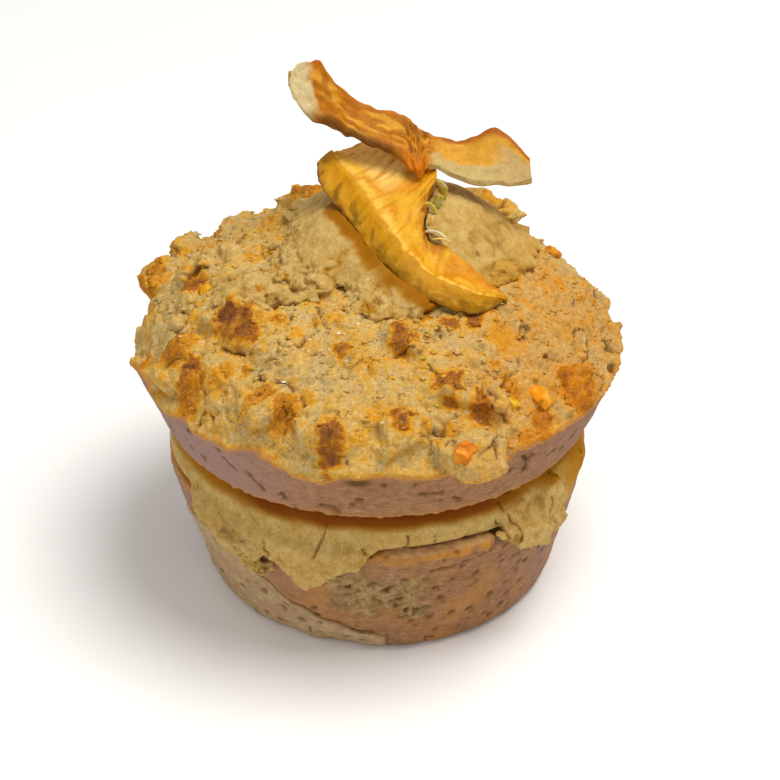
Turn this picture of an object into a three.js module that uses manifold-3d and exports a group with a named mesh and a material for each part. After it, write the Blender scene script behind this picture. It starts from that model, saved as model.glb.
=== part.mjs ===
// A small fruit cake baked in a deep tin and stacked like a sandwich: a tin-baked lower half, a thick
// layer of nut cream, an upper half with a craggy browned dome, a mound and a dab of the same cream on
// the crust, and two dried fruit slices on the mound. Millimetres, +Z up. The origin is the middle of
// the flat base and the front is -Y. Angles round the cake are seen from above, in degrees: 0 at the
// right, 90 at the back, -90 at the front.
import * as THREE from 'three';
import { ImprovedNoise } from 'three/addons/math/ImprovedNoise.js';
import { mergeVertices } from 'three/addons/utils/BufferGeometryUtils.js';
import Module from 'manifold-3d';

const wasm = await Module();
wasm.setup();

// Driving dimensions
const CLEAR = 0.35; // left between pieces that touch

const FOOT_R = 33; // lower half, at the table
const LOWER_FLARE = 0.242; // how far its wall runs out for each mm of height
const LOWER_H = 26; // height at which it was cut across

const CREAM_TOP = 34.3; // top of the cream layer
const CREAM_EDGE_R = 36.4; // the layer draws in under the upper half
const CREAM_BULGE_R = 38.8; // and bulges out lower down
const BULGE_LEAN = 0.2; // it bulges this much more on the left and less on the right
const DRIP_T = 1.3; // thickness of the cream that hangs over the lower wall

const CREAM_FLOOR = LOWER_H + CLEAR + 0.05;
const SKIRT_OFF = 0.25; // more than the clearance, so that the lower wall's room cuts nothing off it

const UPPER_Z = CREAM_TOP + CLEAR;
const UPPER_BASE_R = 39.3;
const RIM_Z = 46.6;
const RIM_R = 44;
const DOME_H = 16.6; // the crust's rise from the rim to the middle
const DOME_POWER = 4; // 2 would be a round dome, more is flatter on top
const CRUST_LEAN = 0.03; // the crust falls this much to the right for each mm

// Relief of the baked batter: how wide its waves are and how far they go, in mm
const CLODS = { size: 6.5, depth: 1.5 };
const CRUMBS = { size: 3.6, depth: 1.1 };
const CRUST_PITS = { size: 4.6, depth: 2.6, share: 0.28 };
const WALL_DENTS = { size: 4.5, depth: 0.33 };
const WALL_PITS = { size: 3.6, depth: 1.1, share: 0.34 };
const MOST_OUT = 0.1; // how far the lower wall may swell towards the cream that hangs over it
const RAGGED_RIM = 0.016; // share of the radius by which the rim strays from round

const MOUND_H = 10.2; // cream mound on the crust
const DAB_H = 2.6;
const CREAM_LIP = 0.9; // thickness where spread cream ends

const RIND_BULGE = 1.1;
const CUT_EDGE_T = 3; // lower slice, at its cut edge
const SLICE_T = 2.1; // upper slice

const ROUND = 72; // facets round the cake

// Spread cream on the crust: where it lies, and how far it reaches every 30 degrees from 0
const MOUND = {
  x: 6, y: 9, height: MOUND_H,
  reach: [21.2, 21, 20, 19, 20.5, 22.5, 22, 25.6, 23.4, 27.4, 20, 20],
};
const DAB = {
  x: -23.2, y: -10.2, height: DAB_H,
  reach: [4.1, 4.2, 4.8, 5, 5, 4.4, 4.4, 4.8, 4.8, 5.2, 6.2, 4.8],
};

// How low the cream layer's lower edge hangs, by angle: the flap and the crumbly lobe at the front
// left, and the broken block at the front right
const CREAM_HANGS = [
  [-180, 25.2], [-150, 25], [-140, 22.8], [-131, 19.5], [-125, 18], [-120, 23.6], [-115, 20.6],
  [-110, 15.8], [-106, 18.2], [-99, 22.6], [-90, 25], [-74, 25.4], [-54, 25.2], [-49, 21.5],
  [-41, 18.6], [-36, 22], [-28, 24.8], [10, 25.2], [40, 22.6], [62, 25.1], [95, 23.4], [120, 25.3],
  [148, 22.2], [180, 25.2],
];

// Height of the fold where the batter met on the left and front left of the lower wall, by angle; 0
// where there is none. The wall is drawn in below it.
const FOLD = [
  [-180, 9], [-160, 15], [-146, 16], [-136, 15.4], [-125, 13.6], [-115, 8.6], [-102, 5], [-85, 0],
  [150, 0], [180, 9],
];
const FOLD_DEPTH = 0.75;

// Lumps of batter and fruit that stand out of the crust: place from above, radius, and how far the
// middle is lifted
const CRUST_LUMPS = [
  { x: -39.4, y: 12, r: 4.3, up: 1.8 }, // knob on the left rim
  { x: -31, y: 2, r: 3.4 },
  { x: -24.4, y: -16.4, r: 5 }, // the largest browned lump
  { x: -32.4, y: -19.8, r: 4.6 },
  { x: -8, y: -38.3, r: 4.2 },
  { x: 2.6, y: -39, r: 3.4 },
  { x: 13, y: -31.6, r: 3.9 },
  { x: 18.8, y: -31.8, r: 3 },
  { x: 15, y: -38.6, r: 5.2 }, // round bulge over the front rim
  { x: 27.7, y: -29.4, r: 3 },
  { x: 34, y: -20.4, r: 3.9 },
  { x: 4.7, y: -23.6, r: 3.4 },
  { x: -5.5, y: -27.2, r: 3 },
  { x: -18.2, y: -33.1, r: 3.6 },
  { x: -11.6, y: 25.4, r: 3.8, up: 0.3 }, // two knobs that show behind the mound
  { x: 20.4, y: 20.4, r: 4.4, up: 2.5 },
  { x: -34.4, y: 18.6, r: 4.3, up: 0.4 },
];
const LUMP_SUNK = 0.32; // share of its radius by which a lump is sunk
const BACK_LUMPS = 8; // more of them over the hidden back of the crust
const BACK_FROM = 62;
const BACK_TO = 150;

// Edges of the lower fruit slice, from its upper end behind on the left to its tip on the crust
const LOWER_SLICE = {
  ridge: [
    [-8.9, 15.4, 76.9], [-5.3, 8, 75.7], [-2.5, 2.6, 74.1], [0.2, -2.4, 72.7], [2.8, -6.6, 70.9],
    [5.9, -10, 69], [9.3, -12.6, 67.1], [13.8, -14.8, 66], [17.9, -15.4, 64.9], [22.1, -13.3, 63.1],
  ],
  rind: [
    [-11.2, 15.2, 74.5], [-10.6, 11, 72.6], [-7.7, 5.6, 71.3], [-4.1, -0.6, 69.7], [-1.4, -5.6, 67.9],
    [1.4, -10.3, 66.4], [4.5, -13.5, 65], [9.1, -16.2, 63.9], [15.5, -17.3, 62.4], [19, -16, 61.9],
    [22.2, -12.4, 61.9],
  ],
  cut: [
    [-5, 16, 77.3], [-1.2, 18.5, 77.4], [3.5, 18, 77], [8, 14.8, 76.2], [10.5, 10.8, 75.9],
    [10.7, 8, 75.6], [9.3, 5, 74.8], [8.7, 1.6, 73], [8.3, -2, 71.8], [9.5, -5, 69.9],
    [12.1, -5.2, 68.8], [15.7, -8, 67.2], [18, -10, 65.5], [22.8, -13, 63],
  ],
};
const BLUNT_END = 0.06; // share of its length over which the upper end of that slice rounds off
const BLUNT_BY = 0.15; // share of its width by which it does so

// Front and back edges of the upper fruit slice, from left to right. It lies across the upper end of
// the lower slice, and its pinched middle rests on that slice's cut edge.
const UPPER_SLICE = {
  front: [
    [-15.6, 12.8, 92.5], [-14.9, 11.8, 90], [-12, 11.6, 86.2], [-7.6, 12, 83.4], [-3.5, 12, 80.9],
    [1.3, 11.6, 79.2], [4.5, 10.4, 77.8], [7.4, 7.8, 76.2], [9.7, 9.4, 76.9], [14.9, 9, 74.5],
    [22.1, 9, 73.3], [28, 10.2, 73.3],
  ],
  back: [
    [-15.6, 14.4, 92.8], [-13, 16.5, 93.3], [-10.1, 17.6, 92.7], [-7.6, 18, 89.3], [-3.5, 18.3, 84.8],
    [1.3, 18.2, 83.1], [5.1, 17.8, 82.3], [7.7, 17.4, 79.6], [11.5, 17.3, 78.2], [16.2, 17, 77.9],
    [21.9, 16.5, 80.3], [27.8, 15, 75.3],
  ],
};

const { clamp, degToRad, lerp, seededRandom, smoothstep } = THREE.MathUtils;
const TURN = 2 * Math.PI;
const perlin = new ImprovedNoise();

// Smooth noise, from -1 to 1, that changes over about `size` mm.
function noise(x, y, z, size) {
  return perlin.noise(x / size + 40, y / size + 40, z / size + 40);
}

// Keeps only the positions, with one vertex at each place and no collapsed triangles.
function closed(geometry) {
  geometry.deleteAttribute('normal');
  geometry.deleteAttribute('uv');
  const merged = mergeVertices(geometry, 1e-3);
  const corners = merged.index.array;
  const kept = [];
  for (let i = 0; i < corners.length; i += 3) {
    const [a, b, c] = corners.subarray(i, i + 3);
    if (a !== b && b !== c && c !== a) kept.push(a, b, c);
  }
  merged.setIndex(kept);
  return merged;
}

function toSolid(geometry) {
  const vertProperties = new Float32Array(geometry.attributes.position.array);
  const triVerts = new Uint32Array(geometry.index.array);
  return new wasm.Manifold(new wasm.Mesh({ numProp: 3, vertProperties, triVerts }));
}

function toGeometry(solid) {
  const { vertProperties, triVerts } = solid.getMesh();
  const geometry = new THREE.BufferGeometry();
  geometry.setAttribute('position', new THREE.BufferAttribute(vertProperties, 3));
  geometry.setIndex(new THREE.BufferAttribute(triVerts, 1));
  return geometry;
}

// Moves every vertex of a geometry by `shape`, which changes the point it is given.
function reshape(geometry, shape) {
  const position = geometry.attributes.position;
  const point = new THREE.Vector3();
  for (let i = 0; i < position.count; i += 1) {
    shape(point.fromBufferAttribute(position, i), i);
    position.setXYZ(i, point.x, point.y, point.z);
  }
  return geometry;
}

// A solid turned about Z. The profile's rows are [radius, height] from the axis below to the axis
// above, and `shape` gets each point, its row and its angle in degrees.
function turnedShape(profile, sides, shape) {
  const rows = profile.map(([r, z]) => new THREE.Vector2(r, z));
  const geometry = new THREE.LatheGeometry(rows, sides).rotateX(Math.PI / 2);
  reshape(geometry, (point, i) => {
    const column = Math.floor(i / rows.length) % sides;
    const angle = (column / sides) * 360 - 90;
    shape(point, i % rows.length, angle > 180 ? angle - 360 : angle);
  });
  return closed(geometry);
}

function turned(profile, sides, shape) {
  return toSolid(turnedShape(profile, sides, shape));
}

// Reads a list of [key, value] at a key, smoothly.
function readAt(list, key) {
  const next = Math.max(1, list.findIndex(([k]) => k >= key));
  const [[k0, v0], [k1, v1]] = [list[next - 1], list[next]];
  return lerp(v0, v1, smoothstep(key, k0, k1));
}

function lowerWallR(z) {
  return FOOT_R + LOWER_FLARE * z;
}

// Height of the crust before its relief
function crustZ(x, y) {
  const q = Math.min(Math.hypot(x, y) / RIM_R, 1);
  return RIM_Z + DOME_H * (1 - q ** DOME_POWER) - CRUST_LEAN * x;
}

// 0 in the middle of a patch of spread cream and 1 at its edge
function spread(patch, x, y) {
  const steps = patch.reach.length;
  const [dx, dy] = [x - patch.x, y - patch.y];
  const turn = ((Math.atan2(dy, dx) / TURN + 1) % 1) * steps;
  const first = Math.floor(turn);
  const [a, b] = [patch.reach[first % steps], patch.reach[(first + 1) % steps]];
  return Math.hypot(dx, dy) / lerp(a, b, smoothstep(turn - first, 0, 1));
}

// 0 where cream covers the crust, so that it is smooth there, and 1 where the crust is bare
function bareCrust(x, y) {
  const covered = Math.min(spread(MOUND, x, y), spread(DAB, x, y));
  return smoothstep(covered, 1.04, 1.22);
}

// Crags, crumbs and pits of the crust, outwards in mm
function crags(x, y, z) {
  const clods = CLODS.depth * noise(x, y, z, CLODS.size);
  const crumbs = CRUMBS.depth * noise(x, y, z, CRUMBS.size);
  const pits = Math.max(0, noise(x + 9, y, z, CRUST_PITS.size) - CRUST_PITS.share);
  return clods + crumbs - CRUST_PITS.depth * pits;
}

function lump({ x, y, r, up = 0 }) {
  const facets = r < 4.5 ? 1 : 2;
  const z = crustZ(x, y) + up - LUMP_SUNK * r;
  const shape = closed(new THREE.IcosahedronGeometry(1, facets)).rotateZ(x + y);
  return reshape(shape, (point) => {
    const uneven = 1.08 + 0.75 * noise(point.x + x, point.y + y, point.z, 0.95);
    point.multiply(new THREE.Vector3(1.18, 0.98, 0.86)).multiplyScalar(r * uneven);
    point.add(new THREE.Vector3(x, y, z));
  });
}

// Lumps in two rows round the hidden back of the crust, with seeded sizes
function backLumps() {
  seededRandom(7);
  const lumps = [];
  for (let k = 0; k < BACK_LUMPS; k += 1) {
    const angle = degToRad(lerp(BACK_FROM, BACK_TO, (k + 0.7 * seededRandom()) / BACK_LUMPS));
    const away = RIM_R * (k % 2 === 0 ? 0.87 : 0.75);
    const r = lerp(2.4, 3.6, seededRandom());
    lumps.push({ x: away * Math.cos(angle), y: away * Math.sin(angle), r });
  }
  return lumps;
}

const LUMPS = [...CRUST_LUMPS, ...backLumps()];

function upperCake() {
  const wallRows = [0.7, 3.8, 7, 10];
  const domeRows = 18;
  const profile = [[0, UPPER_Z], [UPPER_BASE_R - 0.6, UPPER_Z]];
  for (const up of wallRows) {
    const t = up / (RIM_Z - UPPER_Z);
    profile.push([lerp(UPPER_BASE_R, RIM_R, t ** 0.9), UPPER_Z + up]);
  }
  const firstDomeRow = profile.length;
  for (let k = 0; k <= domeRows; k += 1) {
    const r = RIM_R * (1 - (k / domeRows) ** 1.55);
    profile.push([r, crustZ(r, 0) + CRUST_LEAN * r]);
  }
  const body = turned(profile, ROUND, (point, row, angle) => {
    if (row < 2) return;
    const { x, y, z } = point;
    const r = Math.hypot(x, y);
    const turn = degToRad(angle);
    const ragged = 1 + RAGGED_RIM * noise(Math.cos(turn), Math.sin(turn), z, 0.5);
    if (row < firstDomeRow) {
      const dents = (WALL_DENTS.depth * noise(x, y, z, WALL_DENTS.size)) / r;
      const scale = lerp(1, ragged, (z - UPPER_Z) / (RIM_Z - UPPER_Z)) + dents;
      point.x *= scale;
      point.y *= scale;
      return;
    }
    const slope = (DOME_H * DOME_POWER * (r / RIM_R) ** (DOME_POWER - 1)) / RIM_R;
    const normal = new THREE.Vector3(slope * x / Math.max(r, 1), slope * y / Math.max(r, 1), 1);
    const out = crags(x, y, z) * bareCrust(x, y);
    point.z -= CRUST_LEAN * x * smoothstep(z, RIM_Z, RIM_Z + 6);
    point.x *= lerp(1, ragged, (r / RIM_R) ** 4);
    point.y *= lerp(1, ragged, (r / RIM_R) ** 4);
    point.addScaledVector(normal.normalize(), out);
  });
  return LUMPS.reduce((cake, item) => cake.add(toSolid(lump(item))), body);
}

function lowerCake() {
  const foot = [[FOOT_R - 1.9, 0], [FOOT_R - 0.6, 0.5]];
  const wall = [2, 4.8, 8, 11.5, 15, 18.5, 22, 25].map((z) => [lowerWallR(z), z]);
  const top = [[lowerWallR(LOWER_H) - 0.6, LOWER_H], [0, LOWER_H]];
  const profile = [[0, 0], ...foot, ...wall, ...top];
  return turnedShape(profile, ROUND, (point, row, angle) => {
    if (row < 1 || row > profile.length - 3) return;
    const { x, y, z } = point;
    const pits = Math.max(0, noise(x, y + 5, z, WALL_PITS.size) - WALL_PITS.share);
    const dents = WALL_DENTS.depth * noise(x, y, z, WALL_DENTS.size) - WALL_PITS.depth * pits;
    const drawnIn = FOLD_DEPTH * smoothstep(readAt(FOLD, angle) - z, 0, 2.5);
    const scale = 1 + (Math.min(dents, MOST_OUT) - drawnIn) / Math.hypot(x, y);
    point.x *= scale;
    point.y *= scale;
  });
}

// Outline of the cream layer at one angle, from its underside out, up and in to its top edge; `low` is
// how low it hangs there and `bulge` its greatest radius.
function creamSection(low, bulge) {
  const floor = CREAM_FLOOR;
  const wall = (z) => lowerWallR(Math.min(z, LOWER_H)) + CLEAR + SKIRT_OFF;
  const halfway = lerp(low, LOWER_H, 0.4);
  const hanging = [
    [wall(LOWER_H) - 1, floor], [wall(LOWER_H), LOWER_H - 0.3], [wall(low), low + 0.5],
    [wall(low) + 0.6 * DRIP_T, low], [wall(halfway) + DRIP_T, halfway],
    [lerp(wall(LOWER_H) + DRIP_T, bulge, 0.4), LOWER_H + 0.6],
  ];
  const insets = [3.2, 2.4, 1.6, 0.9, 0.5, 0.15];
  const tucked = insets.map((inset, k) => [bulge - inset, floor + 0.07 * k * k]);
  const hung = smoothstep(LOWER_H - low, 0.8, 2);
  const under = hanging.map(([r, z], k) => [lerp(tucked[k][0], r, hung), lerp(tucked[k][1], z, hung)]);
  return [
    ...under, [bulge, LOWER_H + 2.9], [bulge - 0.3, LOWER_H + 5],
    [lerp(bulge, CREAM_EDGE_R, 0.5), LOWER_H + 6.9], [CREAM_EDGE_R, CREAM_TOP],
  ];
}

function filling() {
  const rows = creamSection(LOWER_H, FOOT_R).length + 1;
  const profile = [[0, CREAM_FLOOR]];
  for (let k = 1; k < rows; k += 1) profile.push([FOOT_R, LOWER_H + k]);
  profile.push([0, CREAM_TOP]);
  const layer = turned(profile, ROUND, (point, row, angle) => {
    if (row === 0 || row === rows) return;
    const direction = point.clone().setZ(0).normalize();
    const uneven = 0.45 * noise(direction.x, direction.y, 3, 0.35);
    const bulge = CREAM_BULGE_R - BULGE_LEAN * direction.x + uneven;
    const [r, z] = creamSection(readAt(CREAM_HANGS, angle), bulge)[row - 1];
    point.copy(direction.multiplyScalar(r)).setZ(z);
  });
  return layer.subtract(roomFor(lowerCake()));
}

// Cream spread on the crust: its underside follows the crust, and its edge is ragged.
function spreadCream(patch, sides, rowsOut, rowsIn) {
  const profile = [[0, 0]];
  for (let k = 1; k <= rowsOut; k += 1) profile.push([k / rowsOut, 0]);
  for (let k = 0; k < rowsIn; k += 1) profile.push([1 - (k / rowsIn) ** 1.3, 1]);
  profile.push([0, 1]);
  return turned(profile, sides, (point) => {
    const across = Math.min(Math.hypot(point.x, point.y), 1);
    const edge = across > 0.01 ? across / spread(patch, patch.x + point.x, patch.y + point.y) : 0;
    const x = patch.x + point.x * edge;
    const y = patch.y + point.y * edge;
    const body = 0.68 * (1 - across ** 3) + 0.32 * (1 - across) ** 1.5;
    const lumpy = 0.9 * noise(x, y, 2, 4.5) * smoothstep(across, 0.3, 0.9);
    const rise = CREAM_LIP + (patch.height - CREAM_LIP) * body + lumpy * Math.min(1, patch.height / 5);
    const top = point.z > 0.5 ? Math.max(rise, 0.55) : 0;
    point.set(x, y, crustZ(x, y) + CLEAR + top);
  });
}

function curve(points) {
  return new THREE.CatmullRomCurve3(points.map((p) => new THREE.Vector3(...p)), false, 'centripetal');
}

// A bent slice: a box whose points u along, v across and w through are put in place by `place`.
function bentSlice(along, across, through, place) {
  const box = new THREE.BoxGeometry(1, 1, 1, along, across, through).translate(0.5, 0.5, 0.5);
  reshape(box, (point) => point.copy(place(point.x, point.y, point.z)));
  return closed(box);
}

// The thick lower slice, its rind at v = 0 and its cut edge at v = 1
function lowerSlice() {
  const ridge = curve(LOWER_SLICE.ridge);
  const rind = curve(LOWER_SLICE.rind);
  const cut = curve(LOWER_SLICE.cut);
  return bentSlice(18, 4, 2, (u, v, w) => {
    const body = Math.sqrt(Math.sin(Math.PI * clamp(u, 0.02, 0.98)));
    const cutTop = cut.getPointAt(u);
    const cutLow = cutTop.clone().add(new THREE.Vector3(-0.2, 0.3, -CUT_EDGE_T * lerp(0.5, 1, body)));
    const top = ridge.getPointAt(u).lerp(cutTop, v);
    top.z -= 1.3 * Math.sin(Math.PI * v) * body;
    const point = rind.getPointAt(u).lerp(cutLow, v).lerp(top, w);
    const middle = ridge.getPointAt(u).lerp(cutTop, 0.4).setZ(cutTop.z - 0.4 * CUT_EDGE_T);
    const blunt = Math.sqrt(1 - (1 - Math.min(u / BLUNT_END, 1)) ** 2);
    point.lerp(middle, BLUNT_BY * (1 - blunt));
    const bulge = RIND_BULGE * Math.sin(Math.PI * w) * (1 - v) ** 3 * body;
    const wrinkle = 0.35 * noise(point.x, point.y, point.z, 2.6) * (1 - v);
    return point.add(new THREE.Vector3(-0.78, -0.6, -0.15).multiplyScalar(bulge + wrinkle));
  });
}

// The thin twisted upper slice, a curled ribbon pinched in the middle
function upperSlice() {
  const front = curve(UPPER_SLICE.front);
  const back = curve(UPPER_SLICE.back);
  return bentSlice(24, 5, 1, (u, v, w) => {
    const point = front.getPoint(u).lerp(back.getPoint(u), v);
    const lobes = Math.abs(2 * u - 1);
    const cupped = 4 * v * (1 - v);
    point.z -= 1.2 * cupped * smoothstep(lobes, 0.2, 0.7);
    point.z += 0.5 * noise(point.x, point.y, point.z, 2.4) * cupped;
    const thick = SLICE_T * (1 - 0.45 * (2 * v - 1) ** 4) * (1 - 0.35 * lobes ** 6);
    point.z += (w - 0.5) * thick;
    return point;
  });
}

function piece(name, solid, color, roughness) {
  const material = new THREE.MeshStandardMaterial({ color, roughness, metalness: 0, flatShading: true });
  const mesh = new THREE.Mesh(toGeometry(solid), material);
  mesh.name = name;
  return mesh;
}

// The space that a body takes with a clearance round it: copies of it moved six ways, joined
function roomFor(geometry) {
  const room = toSolid(geometry);
  const ways = [[1, 0, 0], [-1, 0, 0], [0, 1, 0], [0, -1, 0], [0, 0, 1], [0, 0, -1]];
  const moved = ways.map((way) => geometry.clone().translate(...way.map((step) => step * CLEAR)));
  return moved.reduce((all, copy) => all.add(toSolid(copy)), room);
}

const PRESSED = 1.6; // how far above itself the lower slice has pushed the cream aside
const roomForSlice = roomFor(lowerSlice());
const roomAboveSlice = roomFor(lowerSlice().translate(0, 0, PRESSED));
const roomForLumps = LUMPS
  .filter(({ x, y }) => Math.min(spread(MOUND, x, y), spread(DAB, x, y)) < 1.6)
  .map((item) => roomFor(lump(item)));

function fitted(cream) {
  const bare = roomForLumps.reduce((left, room) => left.subtract(room), cream);
  return bare.subtract(roomForSlice).subtract(roomAboveSlice);
}

const cake = new THREE.Group();
cake.add(
  piece('lower_cake', toSolid(lowerCake()), 0xb48a5c, 0.9),
  piece('filling', filling(), 0xcfa35c, 0.75),
  piece('upper_cake', upperCake().subtract(roomForSlice), 0xc99a58, 0.9),
  piece('top_cream', fitted(spreadCream(MOUND, 48, 5, 8)), 0xcfa462, 0.75),
  piece('cream_dab', fitted(spreadCream(DAB, 18, 2, 4)), 0xd2ab6a, 0.75),
  piece('slice_lower', toSolid(lowerSlice()), 0xe3a41c, 0.55),
  piece('slice_upper', toSolid(upperSlice()).subtract(roomForSlice), 0xdb9a34, 0.6),
);

export default cake;
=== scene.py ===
"""Looks of a small filled fruit cake: two tin-baked halves, nut cream between them and spread on the
crust, and two dried fruit slices on top.

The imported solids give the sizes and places. A mesh is worked on in millimetres and ends in metres, in the
solids' own frame. Angles round the cake are seen from above, in degrees: 0 at the right, 90 at the back,
-90 at the front. The pale floor, the lights and the camera come last.
"""

from math import atan2, cos, degrees, hypot, pi, radians, sin, sqrt
from random import Random

import bmesh
import bpy
import numpy as np
from mathutils import Matrix, Vector, noise
from mathutils.bvhtree import BVHTree


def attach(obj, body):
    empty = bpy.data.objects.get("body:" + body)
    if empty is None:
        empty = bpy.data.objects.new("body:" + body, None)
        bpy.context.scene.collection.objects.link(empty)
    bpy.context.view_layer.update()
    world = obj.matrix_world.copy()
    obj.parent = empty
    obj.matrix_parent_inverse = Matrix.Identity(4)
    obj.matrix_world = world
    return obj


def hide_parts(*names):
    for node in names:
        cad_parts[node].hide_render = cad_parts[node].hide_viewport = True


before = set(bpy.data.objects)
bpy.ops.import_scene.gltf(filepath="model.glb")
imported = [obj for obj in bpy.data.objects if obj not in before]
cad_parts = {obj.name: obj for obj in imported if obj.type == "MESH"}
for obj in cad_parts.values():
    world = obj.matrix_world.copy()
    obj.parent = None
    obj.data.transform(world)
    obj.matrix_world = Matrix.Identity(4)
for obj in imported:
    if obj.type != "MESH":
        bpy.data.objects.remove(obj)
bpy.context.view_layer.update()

noise.seed_set(11)  # or else noise_vector differs from run to run

MM = 0.001

# Sizes that the solids share with this scene, in mm
FOOT_R = 33
LOWER_FLARE = 0.242
LOWER_H = 26
UPPER_Z = 34.65
UPPER_BASE_R = 39.3
THIN_SLICE_T = 2.1
CUT_EDGE_T = 3
RIND_BULGE = 1.1

# Width of the faces on each fused skin
CRUST_FACE = 0.486
CAKE_FACE = 0.44
FILLING_FACE = 0.42
CREAM_FACE = 0.3

# Height of the browned rim by angle, where crust and tin-baked wall meet
RIM_LINE = [
    (-180, 46.2), (-160, 47.2), (-147, 46.7), (-141, 47.5), (-136, 46.7), (-129, 47.3), (-123, 47.9),
    (-115.5, 47.9), (-112, 46.7), (-107, 45), (-103, 44.6), (-100.8, 45.6), (-97.7, 47), (-91, 46.7),
    (-84.5, 46.5), (-77, 46), (-66, 45.8), (-59, 45.8), (-57, 47.3), (-54, 47.7), (-49.5, 46.9),
    (-44.8, 47.4), (-37, 46.4), (-31, 46), (-15, 47), (20, 46), (55, 47.2), (90, 45.8), (130, 47),
    (160, 45.6), (180, 46.2),
]

# Where the crust browned, and at the end of the list a painted shadow on the crust below the lower end of
# the
# thick slice: place from above, reach, and how dark from 0 to 1
BROWN_AND_SHADOW_SPOTS = [
    (-41.3, 9.8, 4.4, 0.7), (-35.7, 16.4, 2.2, 0.6), (-32.8, -2.1, 3.1, 0.85), (-26, -17, 3.4, 0.94),
    (-24.3, -19.2, 4.8, 0.84), (-22, -20.9, 3, 0.7), (-19.9, -19, 2, 0.6), (-16.8, -18.6, 2.1, 0.72),
    (-11.9, -12.6, 3.8, 0.56),
    (-13.9, -22.5, 2.1, 0.6), (-5.8, -27.5, 2.6, 0.8), (-17.8, 7.5, 1.5, 0.55), (-22.3, 1.6, 2.1, 0.6),
    (-34.5, -19.7, 4.6, 0.72), (-31.8, -22.8, 2.1, 0.94), (-32.4, -25.2, 3.8, 0.76),
    (-26.8, -26.4, 3.6, 0.62), (-22.5, -26.7, 1.5, 0.7), (-20, -33, 3.8, 0.76), (-15.9, -35.9, 3.1, 0.7),
    (-12.4, -34.4, 2.6, 0.6), (-8, -40.8, 3.4, 0.88), (-2.6, -29.4, 1.5, 0.5), (-0.5, -37, 2.6, 0.6),
    (-41.4, -11.4, 1.8, 0.7), (4.5, -25.1, 3.6, 0.8), (21.9, -19.5, 4.6, 0.54), (12, -32.6, 3.8, 0.86),
    (17.4, -34, 2.6, 0.84), (34.6, -22.9, 5.4, 0.7), (3.7, -38.6, 3.1, 0.82), (8.3, -37.7, 1.6, 0.6),
    (12.5, -37.8, 1.8, 0.6), (22.4, -28.3, 2.3, 0.65), (28, -31.8, 3.1, 0.68), (25.4, -34.4, 2.3, 0.7),
    (42.3, -0.7, 1.6, 0.5), (19.9, -26.5, 1.6, 0.6), (31.4, -10, 1.4, 0.5), (24.4, -2.9, 2.1, 0.6),
    (-11.6, 25.4, 4.4, 0.74), (20.4, 20.4, 6, 0.6), (8, -17.6, 2.4, 0.8), (12.6, -19, 2.4, 0.86),
    (16.8, -17.6, 2.6, 0.84), (19.6, -14.6, 2, 0.7), (4, -14, 2.4, 0.7),
]
BACK_SPOTS = 14  # more of them on the hidden back of the crust

CRUST_CLODS = 260  # uneven clods on the crust, most of them small
EDGE_CRUMBS = 130  # crumbs round the cut lower edge of the upper half
CRUMBS = 1500  # loose crumbs on the crust

# Fruit chunks in the crust: place, size along, across and out, turn, colour
CHUNKS = [
    (14.6, -42.4, 50.6, (4, 2.9, 2.6), 4, (226, 132, 20)),
    (28.6, -28, 53, (5.2, 2.6, 2.4), -2, (244, 160, 24)),
    (23.6, -30.4, 53, (2.4, 1.8, 1.6), 30, (238, 196, 40)),
    (-30.7, -4.5, 59.5, (2.6, 1.6, 1.4), 60, (232, 170, 20)),
    (-30, 22, 57, (2.6, 2, 1.6), 40, (220, 140, 34)),
    (10, 38, 52, (3.6, 2.6, 2), 15, (230, 140, 34)),
    (34, 18, 55, (2.6, 2.2, 1.6), 70, (226, 150, 40)),
]
ZEST = [(2.3, -32.1), (7.5, -27.8), (29, -15.6), (-10.9, -42.2), (27.6, -15.6), (-30.4, -9), (8.7, -40.5)]
SUGAR = [(-21.7, -27.8), (-5.7, -23.3), (-6.6, -23.5), (-2.1, -25.4), (-11.5, -23.6), (-5.3, -29.6)]

# Seed case that shows in the thick slice's core: middle, the way it points, what it leans on, length,
# width and colour
CORE_SHARDS = [
    ((11.6, 6.2, 74), (0.3, 0.2, -1), (0.4, 1, 0.2), 4.4, 1.9, (196, 170, 34)),
    ((10.8, 3.4, 72.8), (-0.5, 0.1, -1), (0.5, 1, 0.1), 3.4, 1.7, (190, 176, 40)),
    ((9.6, 1.8, 72.6), (0.7, 0, -0.8), (0.2, 1, 0.4), 3, 1.4, (206, 186, 60)),
    ((10.4, -3.9, 70.6), (1, -0.35, -0.2), (0, 0.6, 1), 3.9, 1.6, (240, 232, 200)),
    ((11.4, -5.2, 70.1), (1, -0.2, -0.1), (0, 0.4, 1), 3.4, 0.9, (232, 200, 110)),
    ((9.6, -1.4, 72), (0.6, 0.6, 0.5), (0, 0.6, 1), 2.2, 1, (214, 170, 60)),
]

SHARD_T = 0.16

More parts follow.
